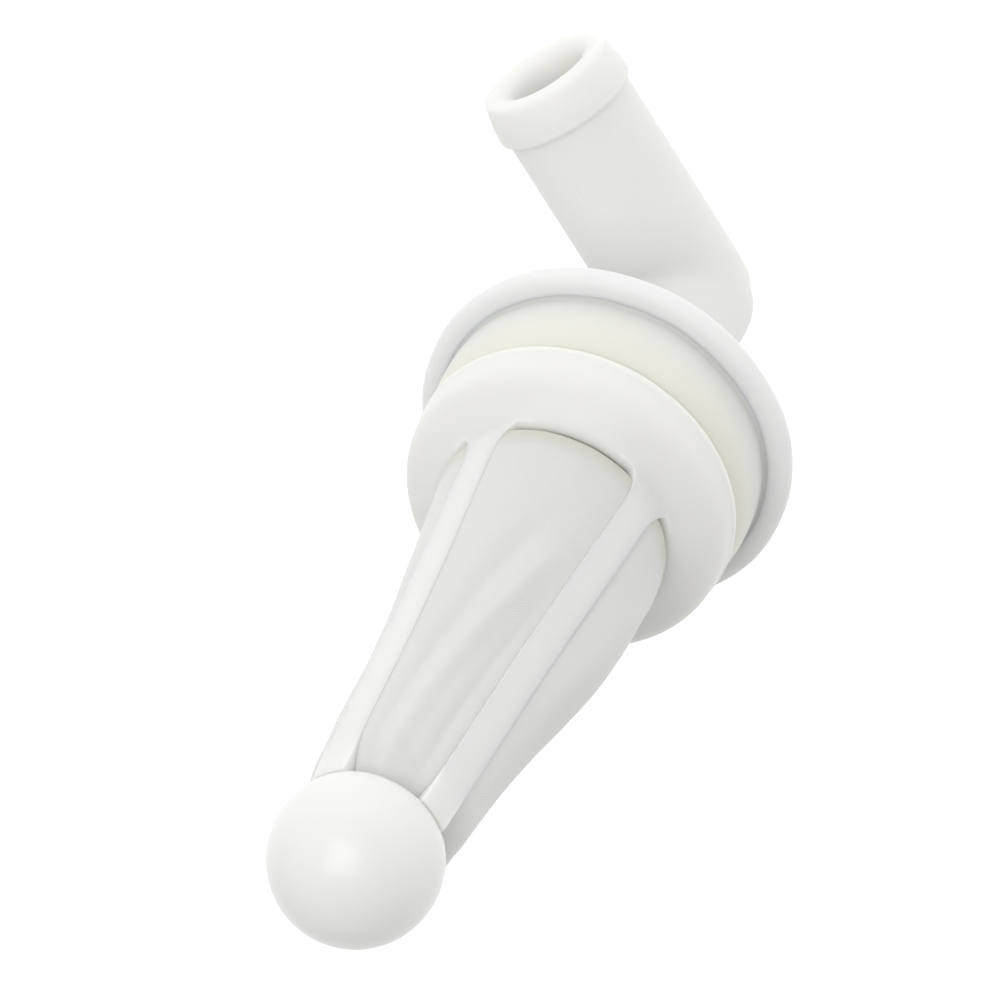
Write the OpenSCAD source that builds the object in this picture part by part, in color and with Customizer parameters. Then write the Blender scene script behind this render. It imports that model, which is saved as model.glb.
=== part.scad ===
// Push-in tank outlet with a strainer.
// A hose elbow swivels in a flanged collar. A soft seal wraps the collar's neck, and a
// ribbed cage with a gauze sleeve and a ball end plugs into the neck.
// Origin at the centre of the collar's sealing face, +Z into the tank, +X along the hose arm.

/* [Hose elbow] */
// Outer diameter of the hose shank
shank_d = 9.5; // [9.3:0.1:9.7]
// Outer diameter over the hose barb
barb_d = 10.3; // [10.1:0.1:11.2]
// Length of the barb, lip included
barb_len = 3.5; // [3:0.1:5]
// Diameter of the water way
bore_d = 5.8; // [5:0.1:6.4]
// Distance from the swivel axis to the mouth of the arm
arm_reach = 19.9; // [17:0.1:30]
// Distance from the sealing face to the axis of the arm
arm_drop = 18.4; // [15:0.1:25]

/* [Collar] */
// Diameter of the flange
flange_d = 26.6; // [25:0.1:32]
// Thickness of the flange
flange_t = 1.8; // [1.6:0.1:3]
// Outer diameter of the neck wall
neck_d = 19.5; // [19.3:0.1:19.6]
// Depth of the neck wall into the tank
neck_len = 5.6; // [5.4:0.1:5.8]

/* [Neck seal] */
// Diameter of the seal's land, which fills the tank hole
seal_d = 23.3; // [22.8:0.1:23.5]

/* [Strainer] */
// Largest diameter of the snap bead
bead_d = 23; // [22.8:0.1:24]
// Height of the window tops above the sealing face
window_z = 10.6; // [10.3:0.1:11]
// Width of a rib
rib_w = 2.7; // [2:0.1:3.4]
// Number of ribs
rib_count = 4; // [3:1:5]
// Thickness of the gauze
gauze_t = 0.25; // [0.2:0.05:0.3]
// Diameter of the ball end
ball_d = 11.6; // [11:0.1:13]

/* [Hidden] */
$fn = 96;

// Radial clearance of the swivel, and the gap between pieces that are pushed together
run_gap = 0.05;
push_gap = 0.05;
// How far a cutter passes a face
over = 1;

// Spigot: the leg's lower stretch, held in the collar's hub
spigot_r = shank_d / 2;
hub_r = 6.2;
hub_top = 4.4;
thrust_r = 5.9;
thrust_t = 1;
spigot_end = 6.5;
groove_z = 1.2;
groove_w = 1;
groove_r = spigot_r - 0.8;
clip_z = hub_top + 0.1;
clip_t = 0.7;
clip_groove_r = spigot_r - 0.5;
clip_r = 5.9;
clip_split_w = 3;

// Neck and strainer head
neck_r = neck_d / 2;
neck_wall = 1;
seal_fillet = 0.2;
seal_foot_r = seal_d / 2 - 0.45;
seat_depth = 0.3;
seat_r = seal_d / 2 + 0.05;
plug_r = neck_r - neck_wall - push_gap;
plug_wall = 0.95;
sleeve_top = 7.4;
plug_top = 1.6;
head_bore_r = plug_r - plug_wall;
bead_z = neck_len + 0.1;
bead_r = bead_d / 2;
window_rim_r = 8.1;
shoulder_r = 3.2;
shoulder_turn = 58;

// Cage end ring and the groove for it in the ball
ball_z = 49.1;
tail_z = ball_z - 2.6;
ring_in_r = 3.4;
ring_out_r = 4.6;
ring_z = 45.5;
ring_top = 49.3;
stem_r = 3;

// Ribs: a straight taper from the windows to the ball, drawn in a little at mid length
rib_t = 0.8;
rib_top_r = 8.35;
rib_top_z = window_z + 0.5;
tail_r = 5.35;
rib_draw_in = 0.28;
rib_foot_z = ring_z - 3.4;
rib_steps = 8;
function rib_radius(z) =
  let (share = (z - rib_top_z) / (tail_z - rib_top_z))
  rib_top_r + (tail_r - rib_top_r) * share - rib_draw_in * pow(sin(180 * share), 2);
rib_line = [
  for (i = [0:rib_steps])
    let (z = rib_top_z + (rib_foot_z - rib_top_z) * i / rib_steps) [rib_radius(z), z]
];

// Sleeve: just inside the ribs, and straight at both ends
sleeve_line = concat(
  [[head_bore_r - 0.03, sleeve_top], [head_bore_r - 0.03, sleeve_top + 2.2]],
  [for (p = rib_line) p - [rib_t + 0.08, 0]],
  [[ring_in_r - 0.04, ring_z], [ring_in_r - 0.04, ring_top]]
);

// Points on an arc about a centre, from one angle to another
function arc(c, r, a0, a1, steps) =
  [for (i = [0:steps]) c + r * [cos(a0 + (a1 - a0) * i / steps), sin(a0 + (a1 - a0) * i / steps)]];

// The same line moved inwards by a thickness, in reverse order
function inner_line(line, t) = [for (i = [len(line) - 1:-1:0]) line[i] - [t, 0]];

// Hose arm: a plain shank, then a barb with a short crest and a taper to its rounded lip
module arm_outline() {
  lip = 0.6;
  taper = 0.35;
  crest = 1;
  barb_r = barb_d / 2;
  barb_x = arm_reach - barb_len;
  polygon(concat(
    [[0, 0], [spigot_r, 0], [spigot_r, barb_x]],
    [[barb_r, barb_x + 0.4], [barb_r, barb_x + 0.4 + crest]],
    arc([barb_r - taper - lip, arm_reach - lip], lip, 0, 90, 6),
    [[0, arm_reach]]
  ));
}

// Leg and spigot: thrust shoulder above the flange, seal groove, then clip groove
module leg_outline() {
  thrust_z = -flange_t - run_gap;
  polygon([
    [0, -arm_drop],
    [spigot_r, -arm_drop],
    [spigot_r, thrust_z - thrust_t - 0.6],
    [thrust_r, thrust_z - thrust_t],
    [thrust_r, thrust_z],
    [spigot_r, thrust_z],
    [spigot_r, groove_z],
    [groove_r, groove_z],
    [groove_r, groove_z + groove_w],
    [spigot_r, groove_z + groove_w],
    [spigot_r, clip_z - 0.05],
    [clip_groove_r, clip_z - 0.05],
    [clip_groove_r, clip_z + clip_t + 0.05],
    [spigot_r, clip_z + clip_t + 0.05],
    [spigot_r, spigot_end - 0.5],
    [spigot_r - 0.5, spigot_end],
    [0, spigot_end]
  ]);
}

module hose_elbow() {
  lead = 0.5;
  flare = 1.6;
  color("whitesmoke")
    difference() {
      union() {
        translate([0, 0, -arm_drop]) rotate([0, 90, 0]) rotate_extrude() arm_outline();
        translate([0, 0, -arm_drop]) sphere(d = shank_d);
        rotate_extrude() leg_outline();
      }
      translate([0, 0, -arm_drop]) rotate([0, 90, 0]) cylinder(d = bore_d, h = arm_reach + over);
      translate([arm_reach - lead, 0, -arm_drop]) rotate([0, 90, 0])
        cylinder(r1 = bore_d / 2, r2 = bore_d / 2 + flare * (lead + over), h = lead + over);
      translate([0, 0, -arm_drop]) sphere(d = bore_d);
      translate([0, 0, -arm_drop]) cylinder(d = bore_d, h = arm_drop + spigot_end + over);
    }
}

// Seal in the spigot's groove, just clear of the hub's bore
module spigot_o_ring() {
  ring_r = 0.4;
  color("dimgray")
    rotate_extrude()
      translate([groove_r + ring_r + 0.01, groove_z + groove_w / 2]) circle(r = ring_r, $fn = 32);
}

// Split ring that stops the spigot from pulling out of the hub
module spigot_clip() {
  color("ivory")
    difference() {
      translate([0, 0, clip_z]) cylinder(r = clip_r, h = clip_t);
      translate([0, 0, clip_z - over]) cylinder(r = clip_groove_r + 0.03, h = clip_t + 2 * over);
      translate([-clip_r - over, -clip_split_w / 2, clip_z - over])
        cube([clip_r + over, clip_split_w, clip_t + 2 * over]);
    }
}

// Flange with a round rim and a recess for the seal's foot, the hub that the spigot turns in,
// and the thin neck wall
module collar_outline() {
  rim_r = flange_t / 2;
  flange_r = flange_d / 2;
  polygon(concat(
    [[0, -flange_t]],
    arc([flange_r - rim_r, -rim_r], rim_r, -90, 90, 10),
    [[seat_r, 0], [seat_r, -seat_depth], [neck_r, -seat_depth]],
    [[neck_r, neck_len], [neck_r - neck_wall, neck_len], [neck_r - neck_wall, 0]],
    [[hub_r, 0], [hub_r, hub_top], [0, hub_top]]
  ));
}

module flange_collar() {
  bore_r = spigot_r + run_gap;
  color("white")
    difference() {
      rotate_extrude() collar_outline();
      translate([0, 0, -flange_t - over]) cylinder(r = bore_r, h = flange_t + hub_top + 2 * over);
    }
}

// Soft sleeve on the neck: a foot that lies flush in the flange's recess, a swell that is
// squeezed in the tank hole, and a taper to the groove behind the snap bead
module neck_seal() {
  land_r = seal_d / 2;
  foot_z = -seat_depth + 0.02;
  top_z = neck_len - 0.05;
  color("lemonchiffon")
    difference() {
      rotate_extrude()
        polygon(concat(
          [[neck_r - 1, foot_z], [seat_r - 0.05, foot_z], [seat_r - 0.05, 0]],
          arc([seal_foot_r + seal_fillet, seal_fillet], seal_fillet, 270, 180, 6),
          [[land_r, 1.6], [land_r, 3.2], [land_r - 0.75, top_z], [neck_r - 1, top_z]]
        ));
      translate([0, 0, -over]) cylinder(r = neck_r + 0.02, h = neck_len + 2 * over);
    }
}

// Strainer head: plug wall inside the neck, snap bead, and a shoulder that rounds over to the
// windows
module head_outline() {
  polygon(concat(
    [[head_bore_r, plug_top], [plug_r - 0.3, plug_top], [plug_r, plug_top + 0.6], [plug_r, bead_z]],
    [[bead_r - 0.35, bead_z], [bead_r - 0.05, bead_z + 0.35], [bead_r, bead_z + 0.7]],
    arc([bead_r - 0.1 - shoulder_r, bead_z + 1.1], shoulder_r, 0, shoulder_turn, 8),
    [[window_rim_r, window_z], [head_bore_r, window_z]]
  ));
}

// One rib: a flat bar that follows the tail, with a gusset that runs up onto the shoulder and
// a foot on the end ring
module rib() {
  gusset_z = window_z - 1.2;
  rotate([90, 0, 0])
    linear_extrude(rib_w, center = true)
      polygon(concat(
        [[head_bore_r + 0.1, gusset_z], [9.6, gusset_z]],
        rib_line,
        [[tail_r, tail_z], [ring_in_r + 0.3, tail_z], [ring_in_r + 0.3, ring_z]],
        inner_line(rib_line, rib_t)
      ));
}

module strainer_cage() {
  color("white")
    union() {
      rotate_extrude() head_outline();
      for (i = [0:rib_count - 1])
        rotate([0, 0, i * 360 / rib_count]) rib();
      difference() {
        translate([0, 0, ring_z]) cylinder(r = ring_out_r, h = ring_top - ring_z);
        translate([0, 0, ring_z - over]) cylinder(r = ring_in_r, h = ring_top - ring_z + 2 * over);
      }
    }
}

// Gauze sleeve, open at both ends: its top edge lies in the head, its tail edge in the end ring
module mesh_sleeve() {
  color("gainsboro")
    rotate_extrude() polygon(concat(sleeve_line, inner_line(sleeve_line, gauze_t)));
}

// Ring that presses the sleeve's top edge against the head's bore
module mesh_clamp_ring() {
  ring_r = head_bore_r - gauze_t - 0.06;
  ring_h = 2;
  color("ivory")
    difference() {
      translate([0, 0, sleeve_top]) cylinder(r = ring_r, h = ring_h);
      translate([0, 0, sleeve_top - over]) cylinder(r = ring_r - 0.8, h = ring_h + 2 * over);
    }
}

// Ball with a flat back, a groove for the cage's end ring, and a stem that pinches the gauze
module tip_ball() {
  color("white")
    difference() {
      translate([0, 0, ball_z]) sphere(d = ball_d);
      translate([-ball_d, -ball_d, tail_z + 0.05 - 2 * ball_d]) cube(2 * ball_d);
      difference() {
        translate([0, 0, tail_z - over])
          cylinder(r = ring_out_r + push_gap, h = ring_top - tail_z + over + 0.1);
        translate([0, 0, tail_z - 2 * over]) cylinder(r = stem_r, h = ring_top - tail_z + 4 * over);
      }
    }
}

hose_elbow();
spigot_o_ring();
spigot_clip();
flange_collar();
neck_seal();
strainer_cage();
mesh_sleeve();
mesh_clamp_ring();
tip_ball();
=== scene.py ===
"""Push-in tank outlet with a swivel hose elbow and a gauze strainer, built round its CAD frame."""

import math

import bmesh
import bpy
from mathutils import Matrix, Vector, noise


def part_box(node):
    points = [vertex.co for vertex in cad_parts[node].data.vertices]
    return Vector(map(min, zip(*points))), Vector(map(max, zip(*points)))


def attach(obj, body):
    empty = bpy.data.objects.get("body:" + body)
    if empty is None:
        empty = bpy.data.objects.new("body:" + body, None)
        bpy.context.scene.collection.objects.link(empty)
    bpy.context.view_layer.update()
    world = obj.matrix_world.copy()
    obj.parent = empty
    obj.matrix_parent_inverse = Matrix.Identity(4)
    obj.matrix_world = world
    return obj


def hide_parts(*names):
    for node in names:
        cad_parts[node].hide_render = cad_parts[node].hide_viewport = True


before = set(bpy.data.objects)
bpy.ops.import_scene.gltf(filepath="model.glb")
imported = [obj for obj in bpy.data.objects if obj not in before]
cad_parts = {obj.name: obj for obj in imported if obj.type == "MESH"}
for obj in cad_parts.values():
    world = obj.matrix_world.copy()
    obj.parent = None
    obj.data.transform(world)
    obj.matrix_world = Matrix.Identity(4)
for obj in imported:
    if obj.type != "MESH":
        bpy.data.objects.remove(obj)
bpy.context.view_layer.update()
scene = bpy.context.scene


# ---------------------------------------------------------------- camera
# A long lens looks down over the strainer from the tank side, with the outlet hanging in the
# view as it would when it is held by its elbow, ball end lowest.
camera_data = bpy.data.cameras.new("camera")
camera_data.lens = 335.5
camera_data.sensor_width = 36
camera_data.clip_start, camera_data.clip_end = 0.05, 5
camera = bpy.data.objects.new("camera", camera_data)
scene.collection.objects.link(camera)
scene.camera = camera

azimuth, elevation, roll = math.radians(32.42), math.radians(49.90), math.radians(-149.0)
camera_aim = Vector((0.0002, 0.0070, 0.0040))
camera_distance = 0.6384
towards_camera = Vector((
    math.sin(azimuth) * math.cos(elevation),
    -math.cos(azimuth) * math.cos(elevation),
    math.sin(elevation),
))
level_view = (-towards_camera).to_track_quat("-Z", "Y").to_matrix()
camera_turn = Matrix.Rotation(roll, 3, towards_camera) @ level_view
camera_place = camera_aim + towards_camera * camera_distance
camera.matrix_world = Matrix.Translation(camera_place) @ camera_turn.to_4x4()


# ---------------------------------------------------------------- hose elbow
# The elbow is one moulding in natural white polypropylene: a hose arm with a barb, a rounded
# corner, and a leg whose spigot turns in the collar. A sliding core leaves the water way, and
# the two mould halves leave a fine parting line in the plane of the arm and leg.
MM = 0.001
elbow_low, elbow_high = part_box("hose_elbow")
SHANK_R = 4.75
BARB_R = 5.15
WATER_WAY_R = 2.9
ARM_REACH = elbow_high[0] / MM
ARM_Z = elbow_low[2] / MM + BARB_R
SPIGOT_END = elbow_high[2] / MM


def rounded(outline, radius, closed=True, steps=4):
    """The outline with each corner turned into a short curve. A point's third number is its own radius."""
    points = [Vector(p[:2]) for p in outline]
    result = []
    for i, corner in enumerate(points):
        if not closed and i in (0, len(points) - 1):
            result.append(corner)
            continue
        back, onward = points[i - 1] - corner, points[(i + 1) % len(points)] - corner
        own_radius = outline[i][2] if len(outline[i]) > 2 else radius
        reach = min(own_radius, back.length * 0.48, onward.length * 0.48)
        start, end = corner + back.normalized() * reach, corner + onward.normalized() * reach
        for k in range(steps + 1):
            share = k / steps
            result.append(start.lerp(corner, share).lerp(corner.lerp(end, share), share))
    return result


def divided(points, longest, closed=True):
    """The same outline with extra points, so that no stretch is longer than longest."""
    result = []
    ends = points[1:] + ([points[0]] if closed else [])
    for start, end in zip(points, ends):
        pieces = max(1, math.ceil((end - start).length / longest))
        result += [start.lerp(end, k / pieces) for k in range(pieces)]
    return result if closed else result + [points[-1]]


def skinned(name, rings, join_ends=True):
    """A closed skin over rings of points in millimetres. A ring of one point is a pole."""
    work = bmesh.new()
    rows = [[work.verts.new(Vector(p) * MM) for p in ring] for ring in rings]
    for here, there in list(zip(rows, rows[1:])) + ([(rows[-1], rows[0])] if join_ends else []):
        for k in range(max(len(here), len(there))):
            corners = [here[k % len(here)], here[(k + 1) % len(here)],
                       there[(k + 1) % len(there)], there[k % len(there)]]
            work.faces.new(list(dict.fromkeys(corners)))
    bmesh.ops.recalc_face_normals(work, faces=work.faces)
    return finished(name, work)


def finished(name, work):
    """The working mesh as an object at the origin, shaded smooth."""
    for face in work.faces:
        face.smooth = True
    mesh = bpy.data.meshes.new(name)
    work.to_mesh(mesh)
    work.free()
    piece = bpy.data.objects.new(name, mesh)
    scene.collection.objects.link(piece)
    return piece


def moulded(name, colour, shade, roughness, depth, weight=0.35, clouding=140, grain=1400, relief=0.000012,
            shine=0.3):
    """Moulded plastic: colour and gloss drift a little, and light goes in under the skin."""
    material = bpy.data.materials.new(name)
    material.use_nodes = True
    nodes, links = material.node_tree.nodes, material.node_tree.links
    shader = nodes["Principled BSDF"]
    shader.inputs["IOR"].default_value = 1.49
    shader.inputs["Specular IOR Level"].default_value = shine
    shader.inputs["Subsurface Weight"].default_value = weight
    shader.inputs["Subsurface Radius"].default_value = (1.0, 0.95, 0.8)
    shader.inputs["Subsurface Scale"].default_value = depth
    place = nodes.new("ShaderNodeTexCoord")
    cloud = nodes.new("ShaderNodeTexNoise")
    cloud.inputs["Scale"].default_value = clouding
    cloud.inputs["Detail"].default_value = 3
    links.new(place.outputs["Object"], cloud.inputs["Vector"])
    tint = nodes.new("ShaderNodeMix")
    tint.name = "tint"
    tint.data_type = "RGBA"
    tint.inputs["A"].default_value = (*colour, 1)
    tint.inputs["B"].default_value = (*shade, 1)
    links.new(cloud.outputs["Fac"], tint.inputs["Factor"])
    links.new(tint.outputs["Result"], shader.inputs["Base Color"])
    gloss = nodes.new("ShaderNodeMapRange")
    gloss.interpolation_type = "SMOOTHSTEP"
    gloss.inputs["From Min"].default_value, gloss.inputs["From Max"].default_value = 0.1, 0.9
    gloss.inputs["To Min"].default_value = roughness - 0.05
    gloss.inputs["To Max"].default_value = roughness + 0.05
    links.new(cloud.outputs["Fac"], gloss.inputs["Value"])
    links.new(gloss.outputs["Result"], shader.inputs["Roughness"])
    skin = nodes.new("ShaderNodeTexNoise")
    skin.inputs["Scale"].default_value = grain
    skin.inputs["Detail"].default_value = 4
    links.new(place.outputs["Object"], skin.inputs["Vector"])
    bump = nodes.new("ShaderNodeBump")
    bump.inputs["Strength"].default_value = 0.6
    bump.inputs["Distance"].default_value = relief
    links.new(skin.outputs["Fac"], bump.inputs["Height"])
    links.new(bump.outputs["Normal"], shader.inputs["Normal"])
    return material


# Directions round the tube, closer together beside the parting line on its inside and outside
LINE_OFFSETS = (-0.04, -0.02, 0.0, 0.02, 0.04)
tube_angles = sorted(
    [math.tau * k / 120 for k in range(120) if k % 60]
    + [side + step for side in (0, math.pi) for step in LINE_OFFSETS]
)
PARTING_RIDGE = 0.03


def tube_points(radius, ridge=True):
    """(sideways, away from the inside of the bend) for each direction round the tube."""
    result = []
    for angle in tube_angles:
        off_line = min(abs(math.remainder(angle, math.tau)), abs(math.remainder(angle - math.pi, math.tau)))
        proud = PARTING_RIDGE * max(0.0, 1 - off_line / 0.03) if ridge else 0
        result.append(((radius + proud) * math.sin(angle), (radius + proud) * math.cos(angle)))
    return result


def arm_ring(x, radius, ridge=True):
    return [(x, side, ARM_Z - out) for side, out in tube_points(radius, ridge)]


def leg_ring(z, radius, ridge=True):
    return [(-out, side, z) for side, out in tube_points(radius, ridge)]


# The corner is a fan of sections about a line just inside the bend. Its outside is rounded
# like the end of the tube, and its inside is a small fillet.
INNER_FILLET = 0.7
FILLET_SHARPNESS = 4
fan_offset = SHANK_R + INNER_FILLET


def corner_ring(turn, radius):
    """The section at an angle of turn from the arm's end of the fan to the leg's, in radians."""
    s, c = math.sin(turn), math.cos(turn)
    soft = (s ** FILLET_SHARPNESS + c ** FILLET_SHARPNESS) ** (1 / FILLET_SHARPNESS)

    def outer(half):
        """Distance along the fan to the outside of a slice of the tube that is half mm to its middle."""
        straight = (fan_offset + half) / max(s, c)
        if fan_offset - straight * min(s, c) >= 0:
            return straight
        under_root = half ** 2 - fan_offset ** 2 * (1 - 2 * s * c)
        return fan_offset * (s + c) + math.sqrt(max(under_root, 0))

    middle, sharp_middle = fan_offset / soft, fan_offset / max(s, c)
    spread = (outer(radius) - middle) / (outer(radius) - sharp_middle)
    ring = []
    for side, out in tube_points(radius):
        if out >= 0:
            reach = middle + (outer(out) - sharp_middle) * spread
        else:
            reach = (fan_offset + out) / soft
        ring.append((fan_offset - reach * s, side, ARM_Z + fan_offset - reach * c))
    return ring


BARB_LENGTH = 3.5
BARB_START = ARM_REACH - BARB_LENGTH
MOUTH_FLARE = 0.8
MOUTH_DEPTH = 0.5
arm_outline = rounded([
    (ARM_REACH, WATER_WAY_R + MOUTH_FLARE), (ARM_REACH, 4.7, 0.6), (ARM_REACH - 0.9, 4.88, 0.4),
    (ARM_REACH - 2.1, BARB_R, 0.5), (BARB_START + 0.4, BARB_R, 0.1), (BARB_START + 0.05, SHANK_R, 0.1),
    (fan_offset, SHANK_R),
], 0.2, closed=False)
flange_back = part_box("flange_collar")[0][2] / MM
RUNNING_GAP = 0.05
thrust_z = flange_back - RUNNING_GAP
leg_outline = rounded([
    (ARM_Z + fan_offset, SHANK_R), (thrust_z - 1.6, SHANK_R, 0.4), (thrust_z - 1, 5.9, 0.2),
    (thrust_z, 5.9, 0.15), (thrust_z, SHANK_R), (1.2, SHANK_R), (1.2, 3.95), (2.2, 3.95),
    (2.2, SHANK_R), (4.45, SHANK_R), (4.45, 4.25), (5.25, 4.25), (5.25, SHANK_R),
    (SPIGOT_END - 0.5, SHANK_R), (SPIGOT_END, 4.25), (SPIGOT_END, WATER_WAY_R + 0.1),
], 0.1, closed=False)
CORNER_STEPS = 24
turns = [math.pi / 2 * k / CORNER_STEPS for k in range(1, CORNER_STEPS)]
elbow_rings = (
    [arm_ring(x, r) for x, r in divided(arm_outline, 0.8, closed=False)]
    + [corner_ring(turn, SHANK_R) for turn in turns]
    + [leg_ring(z, r, ridge=z < thrust_z - 1.2) for z, r in divided(leg_outline, 0.8, closed=False)]
    + [leg_ring(SPIGOT_END - 0.1 - k * 2, WATER_WAY_R, False)
       for k in range(int((SPIGOT_END - ARM_Z - fan_offset) / 2))]
    + [corner_ring(turn, WATER_WAY_R) for turn in reversed(turns)]
    + [arm_ring(fan_offset + (ARM_REACH - MOUTH_DEPTH - fan_offset) * k / 6, WATER_WAY_R, False)
       for k in range(7)]
)
hose_elbow = skinned("swivel_hose_elbow", elbow_rings)
natural_white = moulded("natural_white_polypropylene", (0.765, 0.765, 0.75), (0.735, 0.735, 0.72),
                        roughness=0.52, depth=0.0022, weight=0.8)
hose_elbow.data.materials.append(natural_white)
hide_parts("hose_elbow")
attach(hose_elbow, "elbow")


# ---------------------------------------------------------------- swivel seal and clip
# A nitrile O-ring sits in the spigot's groove and a split acetal clip holds the spigot in the
# hub. They and the gauze's clamp ring are plain rings, so the CAD shapes stay, with a finish.
rubber = moulded("nitrile_rubber", (0.022, 0.022, 0.024), (0.035, 0.034, 0.033), 0.5, 0.0002, weight=0.0,
                 grain=4000, relief=0.000006)
acetal = moulded("cream_acetal", (0.80, 0.78, 0.68), (0.74, 0.72, 0.62), 0.34, 0.0008)
for node, material in (("spigot_o_ring", rubber), ("spigot_clip", acetal), ("mesh_clamp_ring", acetal)):
    rings_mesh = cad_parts[node].data
    rings_mesh.materials.clear()
    rings_mesh.materials.append(material)


# ---------------------------------------------------------------- flanged collar
# The collar is moulded in the same white polypropylene: a flange with a round rim, the hub that
# the spigot turns in, and a thin neck wall. Its rim is a little uneven, as it cooled.
def turned(outline, columns, uneven=None):
    """A skin turned about Z from an outline of (radius, height). uneven gives what to add to a radius."""
    rings = []
    for r, z in outline:
        if r < 1e-6:
            rings.append([(0, 0, z)])
            continue
        ring = []
        for k in range(columns):
            angle = math.tau * k / columns
            here = r + (uneven(r, z, angle) if uneven else 0)
            ring.append((here * math.cos(angle), here * math.sin(angle), z))
        rings.append(ring)
    return rings


NECK_R, NECK_LEN = 9.75, 5.6
FLANGE_R = 13.3
SEAT_R = 11.7
TURNED_COLUMNS = 180
collar_outline = rounded([
    (4.8, flange_back, 0.15), (FLANGE_R, flange_back, 0.85), (FLANGE_R, 0, 0.85), (SEAT_R, 0, 0.1),
    (SEAT_R, -0.3, 0.1), (NECK_R, -0.3, 0.05), (NECK_R, NECK_LEN), (NECK_R - 1, NECK_LEN),
    (NECK_R - 1, 0, 0.4), (6.2, 0, 0.4), (6.2, 4.4, 0.3), (4.8, 4.4, 0.3),
], 0.15, steps=6)


def rim_wave(r, z, angle):
    """The rim's slow unevenness, fading out towards the neck."""
    share = max(0.0, (r - 11.5) / 1.8)
    around = Vector((math.cos(angle) * 3, math.sin(angle) * 3, z * 0.4))
    return share * 0.09 * noise.noise(around) + share * 0.02 * noise.noise(around * 5)


collar = skinned("flanged_collar", turned(divided(collar_outline, 0.6), TURNED_COLUMNS, rim_wave))
collar_white = moulded("collar_white_polypropylene", (0.745, 0.75, 0.75), (0.715, 0.72, 0.72),
                       roughness=0.52, depth=0.0016, weight=0.6)
collar.data.materials.append(collar_white)
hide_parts("flange_collar")
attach(collar, "collar")


# ---------------------------------------------------------------- neck seal
# A soft sleeve of cream thermoplastic rubber moulded onto the neck. Its foot lies flush in the
# flange's recess, it swells where the tank hole squeezes it, and it narrows behind the bead.
SEAL_IN = NECK_R + 0.02
SWELL_R = 11.65
FOOT_FILLET = 0.15
seal_outline = rounded([
    (SEAL_IN, -0.28, 0.02), (SEAT_R - 0.02, -0.28, 0.05),
    (SEAT_R + FOOT_FILLET, 0.02, 0.03), (SWELL_R - 0.08, 0.1, 0.3),
    (SWELL_R, 1.6, 0.8), (SWELL_R, 3.2, 0.8), (SWELL_R - 0.7, 5.3, 0.3), (SEAL_IN, 5.55, 0.05),
], 0.1, steps=6)


def rubber_wave(r, z, angle):
    around = Vector((math.cos(angle) * 2.2, math.sin(angle) * 2.2, z * 0.5))
    return 0.07 * noise.noise(around) * min(1.0, max(0.0, (r - SEAL_IN) / 0.6))


seal = skinned("soft_neck_seal", turned(divided(seal_outline, 0.35), TURNED_COLUMNS, rubber_wave))
# The rubber's own colour is cream. A height gradient paints it paler at the foot and yellower towards the
# bead, as painted shade for the crease beside the bead
cream_rubber = moulded("cream_soft_rubber", (0.74, 0.74, 0.66), (0.71, 0.71, 0.65),
                       roughness=0.58, depth=0.0014, weight=0.6, clouding=160, grain=2200, relief=0.00001)
nodes, links = cream_rubber.node_tree.nodes, cream_rubber.node_tree.links
seal_place = nodes.new("ShaderNodeTexCoord")
seal_axes = nodes.new("ShaderNodeSeparateXYZ")
links.new(seal_place.outputs["Object"], seal_axes.inputs["Vector"])
painted_crease_shade_mask = nodes.new("ShaderNodeMapRange")
painted_crease_shade_mask.interpolation_type = "SMOOTHSTEP"
painted_crease_shade_mask.inputs["From Min"].default_value, painted_crease_shade_mask.inputs["From Max"].default_value = 0.002, 0.0052
links.new(seal_axes.outputs["Z"], painted_crease_shade_mask.inputs["Value"])
# Painted shade: the colour turns yellower towards the bead, standing in for the shaded crease there
cream_and_painted_crease_shade = nodes.new("ShaderNodeMix")
cream_and_painted_crease_shade.data_type = "RGBA"
cream_and_painted_crease_shade.inputs["A"].default_value = (0.735, 0.74, 0.715, 1)
cream_and_painted_crease_shade.inputs["B"].default_value = (0.745, 0.735, 0.635, 1)
links.new(painted_crease_shade_mask.outputs["Result"], cream_and_painted_crease_shade.inputs["Factor"])
links.new(cream_and_painted_crease_shade.outputs["Result"], nodes["tint"].inputs["A"])
seal.data.materials.append(cream_rubber)
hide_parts("neck_seal")
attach(seal, "collar")


# ---------------------------------------------------------------- strainer cage
# The cage is one white moulding: a plug that pushes into the neck, a snap bead with a fine lip,
# a rounded shoulder, four flat ribs that flare out of it, and an end ring inside the ball.
# One quarter is built here, and Geometry Nodes repeats it round the axis and welds it.
RIB_COUNT = 4
RIB_HALF = 1.35
RIB_T = 0.8
FLARE = 0.95
FLARE_LENGTH = 2.6
RIM_R, RIM_Z = 8.3, 10.5
HEAD_BORE_R = 7.75
RIB_TOP_R, RIB_TOP_Z = 8.35, 11.1
TAIL_R, TAIL_Z = 5.35, 46.5
RIB_DRAW_IN = 0.28
RIB_CROWN = 0.12
SHOULDER_Z = 8.6
GUSSET_R = 9.9
END_RING_R, END_RING_BORE_R, END_RING_Z = 4.6, 3.4, 49.3
END_RING_RIB_HALF = 1.2
RIB_FOOT_Z = 45.0
head_outline = divided(rounded([
    (8.4, 1.6), (8.7, 2.2), (8.7, 5.66, 0.1), (11.3, 5.68, 0.12), (11.57, 5.85, 0.15), (11.57, 6.15, 0.12),
    (11.45, 6.4, 0.2), (11.42, 8.58, 1.8), (RIM_R, RIM_Z),
], 0.3, closed=False), 0.8, closed=False)


def rib_radius(z):
    """A straight taper from the windows to the ball, drawn in a little at mid length."""
    share = (z - RIB_TOP_Z) / (TAIL_Z - RIB_TOP_Z)
    return RIB_TOP_R + (TAIL_R - RIB_TOP_R) * share - RIB_DRAW_IN * math.sin(math.pi * share) ** 2


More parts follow.
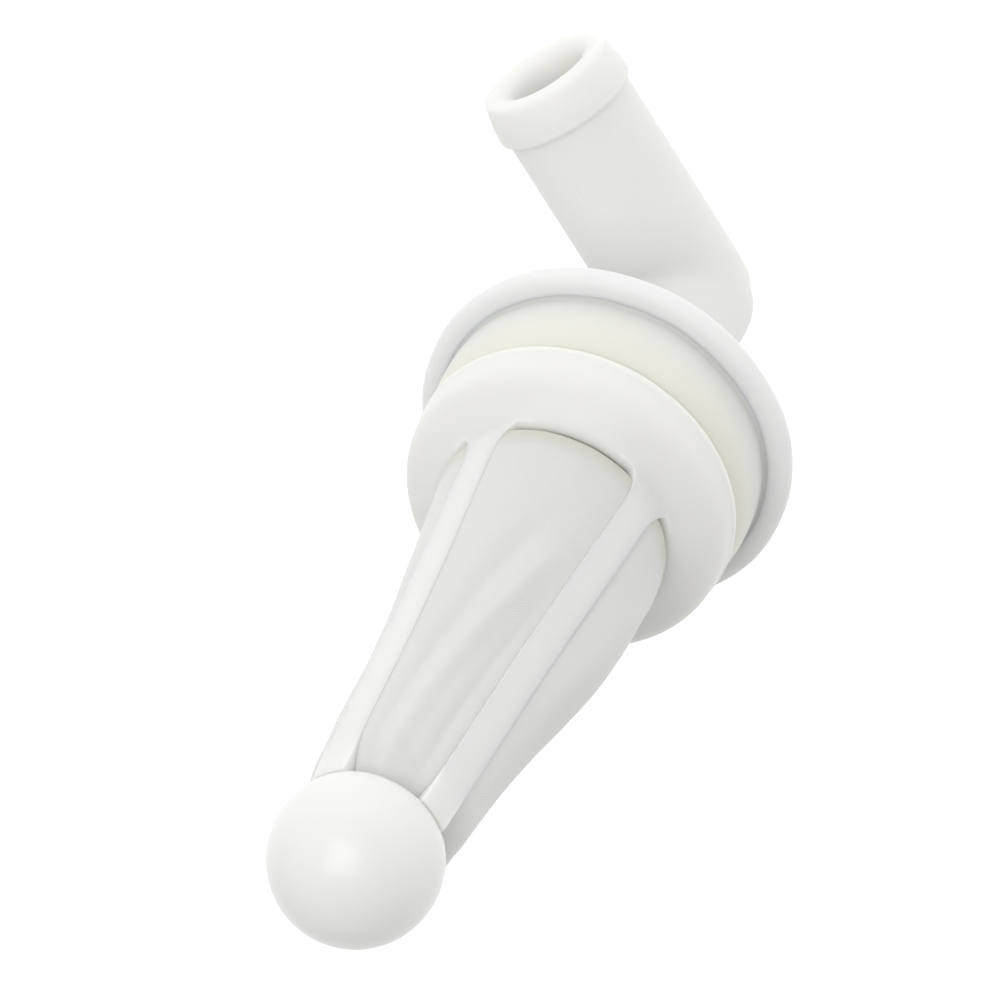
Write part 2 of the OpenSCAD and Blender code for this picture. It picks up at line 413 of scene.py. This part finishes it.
def smooth_step(low, high, value):
    share = min(1.0, max(0.0, (value - low) / (high - low)))
    return share * share * (3 - 2 * share)


RIB_CELLS = 8
WINDOW_CELLS = 13
quarter = math.pi / RIB_COUNT


def cage_row(head, rib, half_width, flat, inner):
    """Points of one row, outer then inner, from one window's middle to the next.

    head, rib and inner are (radius, height); flat is how far the rib's face is flat, not round."""
    outer_points, inner_points = [], []
    edge_x = math.sqrt(head[0] ** 2 - half_width ** 2) * (1 - flat) + (rib[0] - RIB_CROWN) * flat
    edge_angle = math.atan2(half_width, edge_x)
    edge_r = math.hypot(half_width, edge_x)
    for k in range(-RIB_CELLS // 2 - WINDOW_CELLS, RIB_CELLS // 2 + WINDOW_CELLS + 1):
        side = math.copysign(1, k)
        if abs(k) <= RIB_CELLS // 2:
            across = k / (RIB_CELLS // 2)
            y = half_width * across
            x = math.sqrt(head[0] ** 2 - y * y) * (1 - flat) + (rib[0] - RIB_CROWN * across ** 2) * flat
            z = head[1] * (1 - flat) + rib[1] * flat
            angle = math.atan2(y, x)
        else:
            share = (abs(k) - RIB_CELLS // 2) / WINDOW_CELLS
            angle = side * (edge_angle + (quarter - edge_angle) * share)
            fade = 1 - smooth_step(0, 0.6, share)
            radius = head[0] + (edge_r - head[0]) * fade
            x, y = radius * math.cos(angle), radius * math.sin(angle)
            z = head[1] + (rib[1] - head[1]) * flat * fade
        outer_points.append((x, y, z))
        inner_points.append((inner[0] * math.cos(angle), inner[0] * math.sin(angle), inner[1]))
    return outer_points, inner_points


def rib_half_width(z):
    """Half a rib's width. It flares in a quarter circle into the rim, which rounds the windows' corners."""
    left = max(0.0, 1 - (z - RIM_Z) / FLARE_LENGTH)
    return RIB_HALF + FLARE * (1 - math.sqrt(1 - left * left))


cage_rows, row_is_rib = [], []
for r, z in head_outline:
    lift = smooth_step(SHOULDER_Z, RIM_Z, z)
    gusset = (GUSSET_R + (rib_radius(RIM_Z) - GUSSET_R) * lift, z)
    cage_rows.append(cage_row((r, z), gusset, RIB_HALF + FLARE, lift, (HEAD_BORE_R, z)))
    row_is_rib.append(False)
RIB_ROWS = 44
for k in range(RIB_ROWS + 1):
    z = RIM_Z + 0.05 + (TAIL_Z - RIM_Z - 0.05) * (k / RIB_ROWS) ** 1.5
    face = rib_radius(z)
    foot = smooth_step(RIB_FOOT_Z, TAIL_Z, z)
    inside = (face - RIB_T) * (1 - foot) + END_RING_BORE_R * foot
    inside_z = z - 0.2 * foot
    cage_rows.append(cage_row((face, z), (face, z), rib_half_width(z), 1.0, (inside, inside_z)))
    row_is_rib.append(True)
for z in (TAIL_Z, END_RING_Z):
    ring_face = (END_RING_R, z)
    cage_rows.append(cage_row(ring_face, ring_face, END_RING_RIB_HALF, 0.0, (END_RING_BORE_R, z)))
    row_is_rib.append(False)

work = bmesh.new()
outer_grid = [[work.verts.new(Vector(p) * MM) for p in outer] for outer, _ in cage_rows]
inner_grid = [[work.verts.new(Vector(p) * MM) for p in inner] for _, inner in cage_rows]
cell_kept = []
columns = len(outer_grid[0]) - 1
for i in range(len(cage_rows) - 1):
    crosses_window = row_is_rib[i] or row_is_rib[i + 1]
    in_rib = [WINDOW_CELLS <= j < WINDOW_CELLS + RIB_CELLS for j in range(columns)]
    cell_kept.append([rib_cell or not crosses_window for rib_cell in in_rib])


def quad(grid_a, a, grid_b, b):
    work.faces.new([grid_a[a[0]][a[1]], grid_a[b[0]][b[1]], grid_b[b[0]][b[1]], grid_b[a[0]][a[1]]])


for i, row in enumerate(cell_kept):
    for j, kept in enumerate(row):
        if not kept:
            continue
        for grid, order in ((outer_grid, 1), (inner_grid, -1)):
            work.faces.new([grid[i][j], grid[i][j + 1], grid[i + 1][j + 1], grid[i + 1][j]][::order])
        if i == 0 or not cell_kept[i - 1][j]:
            quad(outer_grid, (i, j), inner_grid, (i, j + 1))
        if i == len(cell_kept) - 1 or not cell_kept[i + 1][j]:
            quad(inner_grid, (i + 1, j), outer_grid, (i + 1, j + 1))
        if j > 0 and not row[j - 1]:
            quad(inner_grid, (i, j), outer_grid, (i + 1, j))
        if j < columns - 1 and not row[j + 1]:
            quad(outer_grid, (i, j + 1), inner_grid, (i + 1, j + 1))
bmesh.ops.delete(work, geom=[v for v in work.verts if not v.link_faces], context="VERTS")
cage_quarter = finished("cage_quarter", work)
cage_white = moulded("cage_white_polypropylene", (0.76, 0.757, 0.732), (0.735, 0.731, 0.705),
                     roughness=0.50, depth=0.0018, weight=0.7)

ring_tree = bpy.data.node_groups.new("quarters_round_axis", "GeometryNodeTree")
for socket_name, socket_type, direction in (
    ("Geometry", "NodeSocketGeometry", "INPUT"), ("Quarters", "NodeSocketInt", "INPUT"),
    ("Weld distance", "NodeSocketFloat", "INPUT"), ("Finish", "NodeSocketMaterial", "INPUT"),
    ("Geometry", "NodeSocketGeometry", "OUTPUT"),
):
    ring_tree.interface.new_socket(socket_name, in_out=direction, socket_type=socket_type)
tree_nodes, tree_links = ring_tree.nodes, ring_tree.links
given = tree_nodes.new("NodeGroupInput")
result = tree_nodes.new("NodeGroupOutput")
centres = tree_nodes.new("GeometryNodeMeshLine")
number = tree_nodes.new("GeometryNodeInputIndex")
step = tree_nodes.new("ShaderNodeMath")
step.operation = "DIVIDE"
step.inputs[0].default_value = math.tau
angle_of = tree_nodes.new("ShaderNodeMath")
angle_of.operation = "MULTIPLY"
spin = tree_nodes.new("ShaderNodeCombineXYZ")
place_quarters = tree_nodes.new("GeometryNodeInstanceOnPoints")
realize = tree_nodes.new("GeometryNodeRealizeInstances")
weld = tree_nodes.new("GeometryNodeMergeByDistance")
set_finish = tree_nodes.new("GeometryNodeSetMaterial")
centres.inputs["Offset"].default_value = (0, 0, 0)
tree_links.new(given.outputs["Quarters"], centres.inputs["Count"])
tree_links.new(given.outputs["Quarters"], step.inputs[1])
tree_links.new(number.outputs["Index"], angle_of.inputs[0])
tree_links.new(step.outputs[0], angle_of.inputs[1])
tree_links.new(angle_of.outputs[0], spin.inputs["Z"])
tree_links.new(centres.outputs["Mesh"], place_quarters.inputs["Points"])
tree_links.new(given.outputs["Geometry"], place_quarters.inputs["Instance"])
tree_links.new(spin.outputs["Vector"], place_quarters.inputs["Rotation"])
tree_links.new(place_quarters.outputs["Instances"], realize.inputs["Geometry"])
tree_links.new(realize.outputs["Geometry"], weld.inputs["Geometry"])
tree_links.new(given.outputs["Weld distance"], weld.inputs["Distance"])
tree_links.new(weld.outputs["Geometry"], set_finish.inputs["Geometry"])
tree_links.new(given.outputs["Finish"], set_finish.inputs["Material"])
tree_links.new(set_finish.outputs["Geometry"], result.inputs["Geometry"])
repeat = cage_quarter.modifiers.new("quarters", "NODES")
repeat.node_group = ring_tree
sockets = ring_tree.interface.items_tree
socket_ids = {item.name: item.identifier for item in sockets if item.in_out == "INPUT"}
repeat[socket_ids["Quarters"]] = RIB_COUNT
repeat[socket_ids["Weld distance"]] = 0.00001
repeat[socket_ids["Finish"]] = cage_white

bpy.context.view_layer.update()
all_quarters = cage_quarter.evaluated_get(bpy.context.evaluated_depsgraph_get())
cage_mesh = bpy.data.meshes.new_from_object(all_quarters)
bpy.data.objects.remove(cage_quarter)
cage_mesh.name = "strainer_cage_moulding"
work = bmesh.new()
work.from_mesh(cage_mesh)
bmesh.ops.recalc_face_normals(work, faces=work.faces)
for face in work.faces:
    face.smooth = True
work.to_mesh(cage_mesh)
work.free()
cage = bpy.data.objects.new("strainer_cage_moulding", cage_mesh)
scene.collection.objects.link(cage)
edge_round = cage.modifiers.new("edge_round", "BEVEL")
edge_round.width = 0.00016
edge_round.segments = 2
edge_round.limit_method = "ANGLE"
edge_round.angle_limit = math.radians(50)
refine = cage.modifiers.new("refine", "SUBSURF")
refine.levels = refine.render_levels = 1
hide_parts("strainer_cage")
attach(cage, "collar")


# ---------------------------------------------------------------- gauze sleeve
# The strainer is a tube of fine white nylon gauze, cut to a taper and joined along one line
# behind a rib. Its mouth is clamped in the head and its tail is pinched by the ball. It lies
# almost flush with the ribs, bellies out of one window, and has slack folds at the front.
GAUZE_T = 0.12
GAUZE_TOP_Z = 7.45
GAUZE_COLUMNS = 216
GAUZE_ROWS = 150
GAUZE_INSET = 0.12
HEAD_CLEARANCE = 0.07
GAUZE_TAIL_R, GAUZE_TAIL_Z = 3.36, 46.4
PINCH_LENGTH = 4.4
DRAWN_OUT = 0.06
SLACK = 0.05
HALF_WINDOW = 33
# For each window by its middle angle: how far it stands out, at which height, and over what length
billows = {-45: (0.1, 25, 10), -135: (1.2, 23, 9.5), 135: (0.4, 23, 10), 45: (-0.5, 28, 12)}
# Slack folds: the window, where each end lies across it from -1 to 1 and at what
# height, how high the fold stands, and half its width across the window
folds = [
    (-45, -0.35, 16, 0.65, 44, -0.42, 0.2),
    (-45, -0.8, 18, 0.2, 45, 0.4, 0.22),
    (-45, -1.0, 22, -0.6, 44, -0.28, 0.15),
    (-135, 0.2, 12, 0.6, 40, 0.3, 0.25),
    (135, -0.3, 12, 0.4, 40, 0.3, 0.25),
    (45, 0.4, 14, -0.2, 38, 0.2, 0.25),
]


def gauze_radius(angle, z):
    """Radius of the gauze's outside at an angle in degrees."""
    in_head = HEAD_BORE_R - HEAD_CLEARANCE
    radius = in_head + (rib_radius(z) - GAUZE_INSET - in_head) * smooth_step(RIM_Z - 0.05, RIM_Z + 0.6, z)
    pinch = max(0.0, 1 - (GAUZE_TAIL_Z - z) / PINCH_LENGTH) ** 2.5
    radius += (GAUZE_TAIL_R - radius) * pinch
    window = min(billows, key=lambda centre: abs(math.remainder(angle - centre, 360)))
    across = math.remainder(angle - window, 360) / HALF_WINDOW
    clear_of_ends = smooth_step(10, 13, z) * (1 - smooth_step(41, 46, z))
    if window == -45:
        # the sleeve is drawn out flush with the rib at this window's far side
        under_rib = smooth_step(1.05, 1.36, across)
        radius += DRAWN_OUT * clear_of_ends * smooth_step(-0.6, 0.9, across) * (1 - under_rib)
    if abs(across) < 1:
        height, middle, length = billows[window]
        radius += height * clear_of_ends * math.exp(-((z - middle) / length) ** 2) * (1 - across ** 2)
        for fold_window, across0, z0, across1, z1, fold_height, half_width in folds:
            share = (z - z0) / (z1 - z0)
            if fold_window == window and 0 < share < 1.2:
                swing = math.sin(math.pi / 2 * min(share, 1))
                ends = smooth_step(0, 0.25, share) * (1 - smooth_step(0.85, 1.2, share))
                off = (across - across0 - (across1 - across0) * swing) / half_width
                radius += fold_height * ends * math.exp(-off * off) * (1 - across ** 4)
        radius += SLACK * noise.noise(Vector((angle * 0.09, z * 0.22, 3.0))) * (1 - across ** 4)
    return radius


work = bmesh.new()
sheet_uv = work.loops.layers.uv.new("flat_cloth")
grid = []
for i in range(GAUZE_ROWS + 1):
    z = GAUZE_TOP_Z + (GAUZE_TAIL_Z - GAUZE_TOP_Z) * i / GAUZE_ROWS
    row = []
    for j in range(GAUZE_COLUMNS):
        degrees = 360 * j / GAUZE_COLUMNS
        r = gauze_radius(math.remainder(degrees, 360), z)
        turn = math.radians(degrees)
        row.append(work.verts.new(Vector((r * math.cos(turn), r * math.sin(turn), z)) * MM))
    grid.append(row)
for i in range(GAUZE_ROWS):
    for j in range(GAUZE_COLUMNS):
        face = work.faces.new([grid[i][j], grid[i][(j + 1) % GAUZE_COLUMNS],
                               grid[i + 1][(j + 1) % GAUZE_COLUMNS], grid[i + 1][j]])
        for loop, (u, v) in zip(face.loops, ((j, i), (j + 1, i), (j + 1, i + 1), (j, i + 1))):
            loop[sheet_uv].uv = (u / GAUZE_COLUMNS, v / GAUZE_ROWS)
gauze = finished("gauze_strainer_sleeve", work)
cloth = gauze.modifiers.new("cloth_thickness", "SOLIDIFY")
cloth.thickness = GAUZE_T * MM
cloth.offset = -1

gauze_finish = bpy.data.materials.new("nylon_gauze")
gauze_finish.use_nodes = True
nodes, links = gauze_finish.node_tree.nodes, gauze_finish.node_tree.links
shader = nodes["Principled BSDF"]
shader.inputs["Roughness"].default_value = 0.62
shader.inputs["Subsurface Weight"].default_value = 0.4
shader.inputs["Subsurface Radius"].default_value = (1.0, 0.97, 0.85)
shader.inputs["Subsurface Scale"].default_value = 0.0012
shader.inputs["Sheen Weight"].default_value = 0.15
flat_place = nodes.new("ShaderNodeTexCoord")
split = nodes.new("ShaderNodeSeparateXYZ")
links.new(flat_place.outputs["UV"], split.inputs["Vector"])
THREADS_ROUND, THREADS_LONG = 320, 276
waves = []
for axis, threads in (("X", THREADS_ROUND), ("Y", THREADS_LONG)):
    scaled = nodes.new("ShaderNodeMath")
    scaled.operation = "MULTIPLY"
    scaled.inputs[1].default_value = threads * math.pi
    links.new(split.outputs[axis], scaled.inputs[0])
    wave = nodes.new("ShaderNodeMath")
    wave.operation = "SINE"
    links.new(scaled.outputs[0], wave.inputs[0])
    waves.append(wave)
crossing = nodes.new("ShaderNodeMath")
crossing.operation = "MULTIPLY"
links.new(waves[0].outputs[0], crossing.inputs[0])
links.new(waves[1].outputs[0], crossing.inputs[1])
thread_bump = nodes.new("ShaderNodeBump")
thread_bump.inputs["Strength"].default_value = 0.3
thread_bump.inputs["Distance"].default_value = 0.000015
links.new(crossing.outputs[0], thread_bump.inputs["Height"])
links.new(thread_bump.outputs["Normal"], shader.inputs["Normal"])
pores = nodes.new("ShaderNodeMapRange")
pores.inputs["From Min"].default_value, pores.inputs["From Max"].default_value = -1, 1
pores.inputs["To Min"].default_value, pores.inputs["To Max"].default_value = 0.0, 0.18
links.new(crossing.outputs[0], pores.inputs["Value"])
blotch = nodes.new("ShaderNodeTexNoise")
blotch.inputs["Scale"].default_value = 180
links.new(flat_place.outputs["Object"], blotch.inputs["Vector"])
share = nodes.new("ShaderNodeMath")
share.operation = "MULTIPLY_ADD"
share.inputs[1].default_value = 0.6
links.new(blotch.outputs["Fac"], share.inputs[0])
links.new(pores.outputs["Result"], share.inputs[2])
tint = nodes.new("ShaderNodeMix")
tint.data_type = "RGBA"
tint.inputs["A"].default_value = (0.765, 0.76, 0.725, 1)
tint.inputs["B"].default_value = (0.725, 0.72, 0.68, 1)
links.new(share.outputs[0], tint.inputs["Factor"])
# Painted shade: just under the head's rim the gauze is painted darker and yellower, for the shade that the
# lip casts on it
sleeve_axes = nodes.new("ShaderNodeSeparateXYZ")
links.new(flat_place.outputs["Object"], sleeve_axes.inputs["Vector"])
painted_rim_shade_mask = nodes.new("ShaderNodeMapRange")
painted_rim_shade_mask.interpolation_type = "SMOOTHSTEP"
painted_rim_shade_mask.inputs["From Min"].default_value, painted_rim_shade_mask.inputs["From Max"].default_value = 0.0132, 0.0108
links.new(sleeve_axes.outputs["Z"], painted_rim_shade_mask.inputs["Value"])
gauze_with_painted_rim_shade = nodes.new("ShaderNodeMix")
gauze_with_painted_rim_shade.data_type = "RGBA"
gauze_with_painted_rim_shade.inputs["B"].default_value = (0.66, 0.65, 0.55, 1)
links.new(painted_rim_shade_mask.outputs["Result"], gauze_with_painted_rim_shade.inputs["Factor"])
links.new(tint.outputs["Result"], gauze_with_painted_rim_shade.inputs["A"])
links.new(gauze_with_painted_rim_shade.outputs["Result"], shader.inputs["Base Color"])
gauze.data.materials.append(gauze_finish)
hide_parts("mesh_sleeve")
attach(gauze, "collar")


# ---------------------------------------------------------------- ball end
# A glossy white ball pushed over the cage's end ring. It keeps the strainer off the tank's
# far wall and guides it into the hole. Its stem pinches the gauze's tail against the ring.
BALL_Z = 49.1
BALL_R = 5.8
BALL_FLAT_Z = TAIL_Z + 0.05
ball_outline = [(3.0, BALL_FLAT_Z), (3.0, 49.4), (4.65, 49.4), (4.65, BALL_FLAT_Z)]
flat_angle = math.asin((BALL_FLAT_Z - BALL_Z) / BALL_R)
ball_outline.append((BALL_R * math.cos(flat_angle), BALL_FLAT_Z, 0.3))
ball_curve = rounded(ball_outline, 0.12, closed=False)[:-1]
BALL_STEPS = 40
BALL_COLUMNS = 128
for k in range(BALL_STEPS + 1):
    angle = flat_angle + (math.pi / 2 - flat_angle) * k / BALL_STEPS
    ball_curve.append(Vector((BALL_R * math.cos(angle), BALL_Z + BALL_R * math.sin(angle))))
ball_curve = [Vector((0, BALL_FLAT_Z))] + ball_curve
ball = skinned("ball_end", turned(ball_curve, BALL_COLUMNS), join_ends=False)
ball_white = moulded("glossy_white_ball", (0.765, 0.765, 0.75), (0.75, 0.75, 0.735),
                     roughness=0.32, depth=0.0016, grain=900, relief=0.000004, shine=0.45)
ball.data.materials.append(ball_white)
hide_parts("tip_ball")
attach(ball, "collar")


# ---------------------------------------------------------------- floor and light
# A pale floor well below the part, a large soft light just left of the camera, and a weaker one
# further round on the same side. An even white surround fills the shade.
FLOOR_Z = -0.09
FLOOR_HALF = 3.0
floor_mesh = bpy.data.meshes.new("floor")
floor_mesh.from_pydata(
    [(-FLOOR_HALF, -FLOOR_HALF, FLOOR_Z), (FLOOR_HALF, -FLOOR_HALF, FLOOR_Z),
     (FLOOR_HALF, FLOOR_HALF, FLOOR_Z), (-FLOOR_HALF, FLOOR_HALF, FLOOR_Z)], [], [(0, 1, 2, 3)])
floor = bpy.data.objects.new("floor", floor_mesh)
scene.collection.objects.link(floor)
floor_finish = bpy.data.materials.new("pale_floor")
floor_finish.use_nodes = True
floor_shader = floor_finish.node_tree.nodes["Principled BSDF"]
floor_shader.inputs["Base Color"].default_value = (0.95, 0.95, 0.95, 1)
floor_shader.inputs["Roughness"].default_value = 0.9
floor_shader.inputs["Emission Color"].default_value = (1, 1, 1, 1)
floor_shader.inputs["Emission Strength"].default_value = 0.45
floor.data.materials.append(floor_finish)

world = bpy.data.worlds.new("studio")
scene.world = world
world.use_nodes = True
world.node_tree.nodes["Background"].inputs["Color"].default_value = (1, 1, 1, 1)
world.node_tree.nodes["Background"].inputs["Strength"].default_value = 0.57
scene.view_settings.view_transform = "Standard"

view_right = camera_turn @ Vector((1, 0, 0))
view_up = camera_turn @ Vector((0, 1, 0))


def soft_light(name, power, size, sideways, upwards, forward):
    """A square light placed by where it stands in the view, in metres, and aimed at the part."""
    data = bpy.data.lights.new(name, "AREA")
    data.energy = power
    data.size = size
    lamp = bpy.data.objects.new(name, data)
    scene.collection.objects.link(lamp)
    offset = view_right * sideways + view_up * upwards + towards_camera * forward
    facing = offset.to_track_quat("Z", "Y").to_matrix().to_4x4()
    lamp.matrix_world = Matrix.Translation(camera_aim + offset) @ facing


soft_light("key", 1.9, 0.45, -0.17, 0.02, 0.61)
soft_light("fill", 0.45, 0.7, -0.55, -0.05, 0.30)
